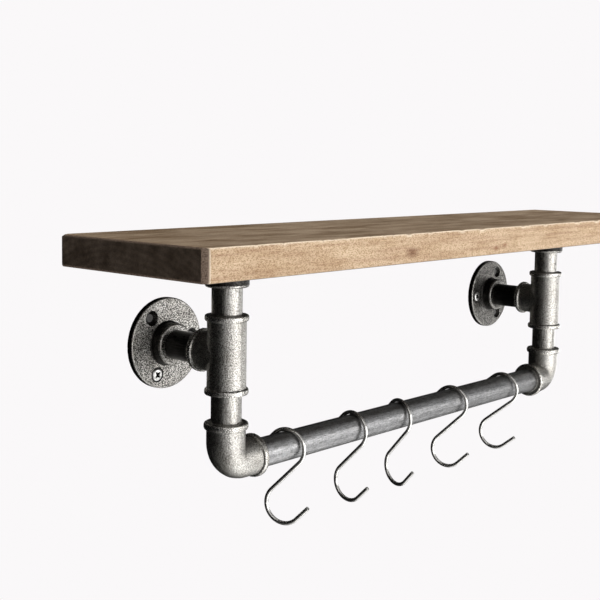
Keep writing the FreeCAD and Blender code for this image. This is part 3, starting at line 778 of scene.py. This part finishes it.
# The underside: a dark neutral grey, painted shade, that keeps it dark in the iron's reflections.
under = blend(tree, fuzz, "#4d4945")
# The end grain: nearly black, partly the stain it soaks up and partly painted shade.
end_tone = ramp(tree, rings, (0.2, "#574a3e"), (0.8, "#5f5245"))
end_grain_and_shade = blend(tree, blend(tree, end_tone, fuzz), face_cloud)
# Pale arrises: rubbed through to pale wood, and partly a painted highlight.
rubbed_and_highlit = ramp(tree, fibre, (0.3, "#cdb397"), (0.55, "#f0dfc6"))
arris = ramp(tree, fibre, (0.36, "#54453a"), (0.62, "#8a7665"))
facing = add(tree, "SeparateXYZ", Vector=add(tree, "NewGeometry").outputs["Normal"])
from_middle = add(tree, "SeparateXYZ", Vector=moved(tree, place, tuple(middle)))


def facing_share(axis, sign, low, high, ragged, by):
    """How far a face looks along an axis: 0 below low and 1 above high, with a bound that a
    noise shifts to and fro. A sign of 0 counts both ways."""
    size = maths(tree, "MULTIPLY" if sign else "ABSOLUTE", facing.outputs[axis], sign)
    rough = maths(tree, "MULTIPLY_ADD", ragged, by, size)
    return spread(tree, rough, start=low + by / 2, end=high + by / 2)


def edge_share(axis, inner, outer):
    """How near a point is to the ends of an axis: 0 inside the inner distance from the board's
    middle, and 1 outside the outer one."""
    size = maths(tree, "ABSOLUTE", from_middle.outputs[axis])
    return spread(tree, size, start=inner, end=outer)


# Partly a painted highlight: the front goes pale along the corner cuts; the end takes the corner
# cuts' brown along its top edge.
front_end, top = length / 2 - FRONT_CUT, thickness / 2
near_end = edge_share("X", front_end - 1.4 * MM, front_end - 0.6 * MM)
near_edge = edge_share("Z", top - 1.8 * MM, top - 0.8 * MM)
tone = blend(tree, front, rubbed_and_highlit, near_end, "MIX")
end_grain_and_shade = blend(tree, end_grain_and_shade, arris, near_edge, "MIX")

# The front's colour, then each layer over it where faces look that layer's way: pale arrises
# (partly a painted highlight), the top (partly painted shade), the underside (painted shade), the
# corner cuts, and the end grain (partly painted shade).
layers = ((rubbed_and_highlit, "Z", 1, 0.05, 0.3, fibre, 0.1), (top_stain_and_shade, "Z", 1, 0.5, 0.8, broad, 0.9),
          (under, "Z", -1, 0.6, 0.8, fibre, 0.1), (arris, "X", 0, 0.3, 0.5, fibre, 0.3),
          (end_grain_and_shade, "X", 0, 0.78, 0.92, fibre, 0.1))
for layer, *way in layers:
    tone = blend(tree, tone, layer, facing_share(*way), "MIX")
fibres = raised(tree, fibre, 0.16 * MM, 0.6)
fill(tree, shader, Base_Color=tone, Roughness=spread(tree, streak, 0.5, 0.75),
     Normal=raised(tree, streak, 0.3 * MM, 0.3, Normal=fibres), Specular_IOR_Level=0.3)
board = new_piece("shelf_plank", [(plank + middle, True, False)], [board_wood])
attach(board, "shelf")
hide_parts("shelf_board")

# ---- Board screws ----
# Zinc plated steel wood screws with a countersunk cross head, driven up through the board flanges
# into the board. They keep the shape they come with, and only get their finish here.


def clouded_metal(name, size, tones, gloss):
    """Bright metal in two tones that come and go in clouds of a size, with its roughness between
    the two of gloss."""
    material, tree, shader = new_material(name)
    cloud = noise(tree, add(tree, "TexCoord").outputs["Object"], size, 3.0)
    fill(tree, shader, Base_Color=ramp(tree, cloud, *zip((0.3, 0.7), tones)),
         Roughness=spread(tree, cloud, *gloss), Metallic=1.0)
    return material


# Zinc plating: a pale satin that glints where it faces a lamp.
zinc = clouded_metal("zinc_plated_steel", 0.8 * MM, ("#cfcfcd", "#eae9e5"), (0.28, 0.45))
for side in SIDES:
    node = frame["nodes"][f"{side}_board_screws"]
    node.data.materials.clear()
    node.data.materials.append(zinc)

# ---- Hooks ----
# S-hooks of bright stainless wire, bent round a former and cut off square. Each hangs loose on
# the rail by its upper bend, turned and leaned as it was left.

WIRE_R = 1.55 * MM
HOOK_R = 14.2 * MM
HOOK_SHANK = 31.3 * MM
HOOK_TAIL = 13.8 * MM
HOOK_LEAN = 46.3
HOOK_TURNS = {1: (17.3, -1.7), 2: (-3.2, -0.4), 3: (-13.3, -2.1), 4: (10.4, -0.4), 5: (9.8, 4.5)}
HOOK_GAP = 0.05 * MM
BEND_STEP = 0.5 * MM
WIRE_STEP = 0.6 * MM

# Polished wire: a mirror with dark edges and a white line along it.
stainless = clouded_metal("stainless_wire_polished", 2.5 * MM, ("#d4d2ce", "#e4e2de"),
                          (0.18, 0.32))

# Half a hook's centre line is (y, z) points from the middle of its shank up round the upper bend
# and down its tail, and the other half is the same turned half round.
bend = arc((HOOK_R, HOOK_SHANK / 2), HOOK_R, 180, 0, int(np.pi * HOOK_R / BEND_STEP))
half = np.vstack([[[0, 0]], bend, [[2 * HOOK_R, HOOK_SHANK / 2 - HOOK_TAIL]]])
half = evenly(half, WIRE_STEP)
line = np.insert(np.vstack([-half[::-1], half[1:]]), 0, 0, axis=1)
forth = np.gradient(line, axis=0)
forth /= np.linalg.norm(forth, axis=1)[:, None]
across = np.tile([1.0, 0.0, 0.0], (len(line), 1))
place_along = np.arange(len(line), dtype=float)
ends = np.array([[0, 0], [WIRE_R * 0.85, 0], [WIRE_R, 0.2]])
wire = np.vstack([ends, np.stack([np.full(len(line) - 2, WIRE_R), place_along[1:-1]], 1),
                  ends[::-1] * [1, -1] + [0, len(line) - 1]])


def wire_path(along):
    """The hook's centre line at places between its points."""
    def at(values):
        return np.stack([np.interp(along, place_along, column) for column in values.T], -1)
    return at(line), at(across), at(forth)


strand = swept(wire_path, 20, wire)
low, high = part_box("rail_pipe")
hang = high.z + HOOK_GAP + WIRE_R - HOOK_R
for number, (turn, lean) in HOOK_TURNS.items():
    node = f"hook_{number}"
    joint = next(joint for joint in frame["joints"] if joint["child"] == node)
    leaning = Matrix.Rotation(np.radians(HOOK_LEAN + lean), 3, "X")
    turning = Matrix.Rotation(np.radians(turn), 3, "Z")
    bend_centre = leaning @ Vector((0, HOOK_R, HOOK_SHANK / 2))
    seat = Vector((joint["pos_m"][0], (low.y + high.y) / 2, hang)) - turning @ bend_centre
    grid = turned(strand, turning @ leaning, seat)
    piece = new_piece(f"{node}_wire", [(grid, True, False)], [stainless], sharp=40)
    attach(piece, node)
    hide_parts(node)

# ---- Wall screws ----
# Zinc plated pan head screws that hold the flanges to the wall, one to be seen in each. The head
# is a low dome with a cross recess; the shank ends at the wall.

HEAD_R = 4.6 * MM
HEAD_RISE = 1.7 * MM
CROSS_REACH = 2.5 * MM
CROSS_WIDTH = 0.9 * MM
CROSS_DEPTH = 3.2 * MM
SHANK_R = 2.1 * MM
CROSS_TURN = np.radians(40)
OFF_WALL = 0.1 * MM


def screw_head(columns):
    """The top of the head as rings of radius r up to R: z is the dome rise * (1 - (r / R) ^ 6) ^
    0.5 less the cross recess, which is deep wherever the nearer arm's middle is closer than half
    its width, and narrows towards the arm's end."""
    r = np.concatenate([np.linspace(0, 0.92, 40), np.linspace(0.93, 1, 10)]) * HEAD_R
    angle = 2 * np.pi * np.arange(columns) / columns
    x, y = r[:, None] * np.cos(angle), r[:, None] * np.sin(angle)
    dome = HEAD_RISE * (1 - (r / HEAD_R) ** 6) ** 0.5
    near, far = np.minimum(abs(x), abs(y)), np.maximum(abs(x), abs(y))
    width = CROSS_WIDTH * np.clip(1.2 - 0.5 * far / CROSS_REACH, 0, None)
    inside = np.minimum(width - near, CROSS_REACH - far) / (0.25 * MM)
    recess = CROSS_DEPTH * np.clip(0.5 + inside, 0, 1)
    turned_x = x * np.cos(CROSS_TURN) - y * np.sin(CROSS_TURN)
    turned_y = x * np.sin(CROSS_TURN) + y * np.cos(CROSS_TURN)
    return np.stack([turned_x, turned_y, dome[:, None] - recess], -1)


# Painted shade: a flat near black in the cross recess, for the shade inside it, that draws the
# cross in the bright head.
recess_shade, tree, shader = new_material("painted_shade_in_recess")
fill(tree, shader, Base_Color="#1f1d1b", Roughness=0.9)


def wall_hole(side, hole):
    """Where the middle line of one of a wall flange's holes meets the wall."""
    low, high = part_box(f"{side}_wall_flange")
    angle = np.radians(wall_turns[side] + hole * 360 / HOLE_COUNT)
    return ((low.x + high.x) / 2 + HOLE_CIRCLE_R * np.cos(angle), high.y,
            (low.z + high.z) / 2 + HOLE_CIRCLE_R * np.sin(angle))


wall_holes = {"left": 2, "right": 0}
sunk = DISC_THICKNESS - (SINK_R - HEAD_R)
under = np.array([[HEAD_R, sunk], [SHANK_R, sunk - (HEAD_R - SHANK_R)], [SHANK_R, OFF_WALL],
                  [0, OFF_WALL]])
shank = lathe(under, 0.24 * MM)
head = screw_head(shank.shape[1])
ring = 2 * np.pi * np.arange(shank.shape[1]) / shank.shape[1] + CROSS_TURN
rim = np.stack([np.cos(ring), np.sin(ring)], -1)
shank[..., :2] = np.linalg.norm(shank[..., :2], axis=-1, keepdims=True) * rim
skin = np.concatenate([head + np.array([0, 0, sunk]), shank[1:]])
for side, hole in wall_holes.items():
    spot = wall_hole(side, hole)
    grid = turned(skin, FACING_ROOM, spot)
    piece = new_piece(f"{side}_wall_screw", [(grid, True, False)], (zinc, recess_shade), sharp=45)
    # Painted shade: the faces inside the cross recess get the near black.
    aside, back, rise = (face_middles(piece.data) - spot).T
    recess = (-back < sunk + 0.6 * HEAD_RISE) & (np.hypot(aside, rise) < CROSS_REACH + 0.2 * MM)
    piece.data.polygons.foreach_set("material_index", recess.astype(np.int32))
    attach(piece, "shelf")

# ---- Wall plugs, painted shade ----
# Plugs of grey plastic in the wall flanges' other holes, each with a collar that lies in the
# countersink and a dimple for the screw: dark stops set in the holes as painted shade, so the open
# holes read dark instead of showing through.

PLUG_R = 2.5 * MM
COLLAR_R = 2.9 * MM
COLLAR_TOP = 2.4 * MM
COLLAR_HEIGHT = 0.5 * MM
DIMPLE_R = 0.8 * MM

# Painted shade: a dull dark grey plastic at the bottom of each open hole, where it would show
# through.
hole_shade_plastic, tree, shader = new_material("grey_plastic_painted_shade")
fill(tree, shader, Base_Color="#5f5e5c", Roughness=0.6)
outline = np.array([[0, OFF_WALL], [PLUG_R, OFF_WALL], [PLUG_R, COLLAR_TOP - COLLAR_HEIGHT],
                    [COLLAR_R, COLLAR_TOP], [DIMPLE_R, COLLAR_TOP], [0, COLLAR_TOP - DIMPLE_R]])
plug = lathe(outline, 0.4 * MM)
for side, used in wall_holes.items():
    for hole in set(range(HOLE_COUNT)) - {used}:
        grid = turned(plug, FACING_ROOM, wall_hole(side, hole))
        piece = new_piece(f"{side}_wall_plug_{hole}", [(grid, True, False)], [hole_shade_plastic], sharp=40)
        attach(piece, "shelf")

# ---- Floor, light and camera ----
# A pale floor far below, a soft box in front, one low on the right, one overhead and a dim room.
# Cards all round, black behind and to the left and paler in front, are seen only in reflections,
# where they give the iron its shaded sides.

FLOOR_Z = -1.6
FLOOR_HALF = 30
FADE_START, FADE_END = 1.8, 3.2
BACKDROP = "#faf8f9"


def flat(name, corners, material):
    """A four-cornered sheet that isn't part of the object."""
    mesh = bpy.data.meshes.new(name)
    mesh.from_pydata(corners, [], [(0, 1, 2, 3)])
    mesh.materials.append(material)
    sheet = put_in_scene(name, mesh)
    return sheet


def background_rays(tree):
    """1 for the rays that should meet the plain background: those of the camera, of gloss and of
    glass."""
    rays = add(tree, "LightPath")
    seen = rays.outputs["Is Camera Ray"]
    for kind in ("Is Glossy Ray", "Is Transmission Ray"):
        seen = maths(tree, "MAXIMUM", seen, rays.outputs[kind])
    return seen


def mixed_shader(tree, share, first, second):
    """The first shader's output, and the second's by its share."""
    node = add(tree, "MixShader", Fac=share)
    put(tree, node.inputs[1], first)
    put(tree, node.inputs[2], second)
    return node.outputs["Shader"]


# The floor shows the object's shadow under it and fades into the backdrop further out.
pale, tree, shader = new_material("pale_floor")
fill(tree, shader, Base_Color="#f6f4f4", Roughness=0.9)
glow = add(tree, "Emission", Color=BACKDROP).outputs["Emission"]
position = add(tree, "NewGeometry").outputs["Position"]
out = maths(tree, "LENGTH", position, kind="VectorMath")
fade = spread(tree, out, low=0.6, start=FADE_START, end=FADE_END)
share = maths(tree, "MULTIPLY", fade, background_rays(tree))
seen = mixed_shader(tree, share, shader.outputs["BSDF"], glow)
fill(tree, tree.nodes["Material Output"], Surface=seen)
corners = ((-1, -1), (1, -1), (1, 1), (-1, 1))
flat("floor", [(x * FLOOR_HALF, y * FLOOR_HALF, FLOOR_Z) for x, y in corners], pale)


def card_material(name, level):
    """A card that shines evenly at a level, so that it looks the same from everywhere."""
    material, tree = new_material(name)[:2]
    even = add(tree, "Emission", Strength=level)
    fill(tree, tree.nodes["Material Output"], Surface=even.outputs["Emission"])
    return material


# The cards' room, and the places along each axis where cards of different levels meet.
LEFT, RIGHT, FRONT, BACK, LOW, TOP = -2.71, 5.1, -4.21, 2.06, -1.55, 3.3
TOP_LEFT_X, LOW_X, NEAR_X, FAR_X = -1.2, -0.4, 1.4, 2.4
HIGH_X, TOP_NEAR_X, WHITE_X = 2.6, 3.0, 3.2
EDGE_Y, TOP_NEAR_Y, LEFT_Y, LOW_Y, TOP_Y, NEAR_Y = -2.12, -1.2, -0.8, -0.5, 0.2, 0.25
LOW_BACK_Y, TOP_RIGHT_Y = 0.6, 0.9
EDGE_Z, BACK_Z, LEFT_Z = 0.99, 1.6, 1.7
LEVELS = {"black": 0.01, "dim_grey": 0.15, "pale_grey": 0.28, "grey": 0.45, "dull": 0.5,
          "silver": 0.85, "white": 1.15, "bright": 3.0}
shades = {shade: card_material(f"{shade}_card", level) for shade, level in LEVELS.items()}
cards = {
    "left": ("black", LEFT, (EDGE_Y, BACK), (LOW, LEFT_Z)),
    "left_high": ("white", LEFT, (EDGE_Y, LEFT_Y), (LEFT_Z, TOP)),
    "left_back": ("black", LEFT, (LEFT_Y, BACK), (LEFT_Z, TOP)),
    "back": ("black", (LEFT, HIGH_X), BACK, (LOW, TOP)),
    "back_right": ("black", (HIGH_X, RIGHT), BACK, (LOW, BACK_Z)),
    "back_high": ("dim_grey", (HIGH_X, RIGHT), BACK, (BACK_Z, TOP)),
    "right": ("dim_grey", RIGHT, (FRONT, BACK), (LOW, TOP)),
    "front_high": ("grey", (LEFT, WHITE_X), FRONT, (EDGE_Z, TOP)),
    "front_right": ("white", (WHITE_X, RIGHT), FRONT, (EDGE_Z, TOP)),
    "top": ("black", (LEFT, HIGH_X), (TOP_Y, BACK), TOP),
    "top_back": ("black", (HIGH_X, RIGHT), (TOP_RIGHT_Y, BACK), TOP),
    "top_right": ("dim_grey", (HIGH_X, RIGHT), (TOP_Y, TOP_RIGHT_Y), TOP),
    "top_front": ("dim_grey", (TOP_LEFT_X, TOP_NEAR_X), (FRONT, TOP_Y), TOP),
    "top_near_right": ("silver", (TOP_NEAR_X, RIGHT), (FRONT, TOP_NEAR_Y), TOP),
    "top_middle_right": ("dim_grey", (TOP_NEAR_X, RIGHT), (TOP_NEAR_Y, TOP_Y), TOP),
    "top_left": ("white", (LEFT, TOP_LEFT_X), (FRONT, TOP_Y), TOP),
    "low_left": ("pale_grey", (LEFT, LOW_X), (FRONT, NEAR_Y), LOW),
    "low_near": ("bright", (LOW_X, NEAR_X), (FRONT, LOW_Y), LOW),
    "low_near_middle": ("white", (LOW_X, NEAR_X), (LOW_Y, NEAR_Y), LOW),
    "low_front": ("white", (NEAR_X, FAR_X), (FRONT, LOW_Y), LOW),
    "low_far": ("dull", (FAR_X, RIGHT), (FRONT, LOW_Y), LOW),
    "low_middle": ("dim_grey", (NEAR_X, RIGHT), (LOW_Y, NEAR_Y), LOW),
    "low": ("dim_grey", (LEFT, RIGHT), (NEAR_Y, LOW_BACK_Y), LOW),
    "low_back": ("black", (LEFT, RIGHT), (LOW_BACK_Y, BACK), LOW),
}
for name, (shade, *sides) in cards.items():
    ranges = [side if isinstance(side, tuple) else (side,) for side in sides]
    first, second, third, fourth = itertools.product(*ranges)
    sheet = flat(f"card_{name}", [first, second, fourth, third], shades[shade])
    for ray in ("camera", "diffuse", "shadow", "transmission"):
        setattr(sheet, f"visible_{ray}", False)

world = bpy.data.worlds.new("studio")
bpy.context.scene.world = world
world.use_nodes = True
tree = world.node_tree
room = fill(tree, tree.nodes["Background"], Color="#ffffff", Strength=0.3)
backdrop = add(tree, "Background", Color=BACKDROP, Strength=1.0)
seen = mixed_shader(tree, background_rays(tree), room.outputs["Background"],
                    backdrop.outputs["Background"])
fill(tree, tree.nodes["World Output"], Surface=seen)


def soft_box(name, place, target, size, power):
    """A rectangular lamp that faces a target."""
    lamp = bpy.data.lights.new(name, "AREA")
    lamp.shape = "RECTANGLE"
    lamp.size, lamp.size_y = size
    lamp.energy = power
    holder = put_in_scene(name, lamp)
    holder.location = place
    holder.rotation_euler = (Vector(target) - Vector(place)).to_track_quat("-Z", "Y").to_euler()
    holder.visible_camera = False
    return holder


soft_box("key", (1.3, -3.22, 0), (1.3, -0.07, 0), (4.0, 2.1), 80.0)
soft_box("key_right", (3.82, -0.2, -0.65), (-0.215, -0.0665, 0), (2.2, 1.2), 22.0)
overhead = soft_box("overhead", (0.478, -0.8, 3.08), (0.258, -0.074, 0), (3.52, 1.98), 77.4)
overhead.visible_glossy = False

EYE = Vector((-0.72805, -0.59587, 0.13496))
YAW, PITCH, ROLL = np.radians([47.318, -4.928, 0.755])
FOCAL_PX = 1088.2
PICTURE_PX = 600
AXIS_PX = (288.37, 250.87)
SENSOR_MM = 36.0

forth = Vector((np.sin(YAW) * np.cos(PITCH), np.cos(YAW) * np.cos(PITCH), np.sin(PITCH)))
level = Vector((np.cos(YAW), -np.sin(YAW), 0))
above = level.cross(forth)
right = np.cos(ROLL) * level + np.sin(ROLL) * above
up = np.cos(ROLL) * above - np.sin(ROLL) * level
lens = bpy.data.cameras.new("camera")
lens.sensor_width = SENSOR_MM
lens.lens = FOCAL_PX / PICTURE_PX * SENSOR_MM
lens.shift_x = 0.5 - AXIS_PX[0] / PICTURE_PX
lens.shift_y = AXIS_PX[1] / PICTURE_PX - 0.5
lens.clip_start = 0.01
camera = put_in_scene("camera", lens)
camera.matrix_world = Matrix((right, up, -forth)).transposed().to_4x4()
camera.location = EYE
bpy.context.scene.camera = camera
bpy.context.scene.view_settings.view_transform = "Standard"
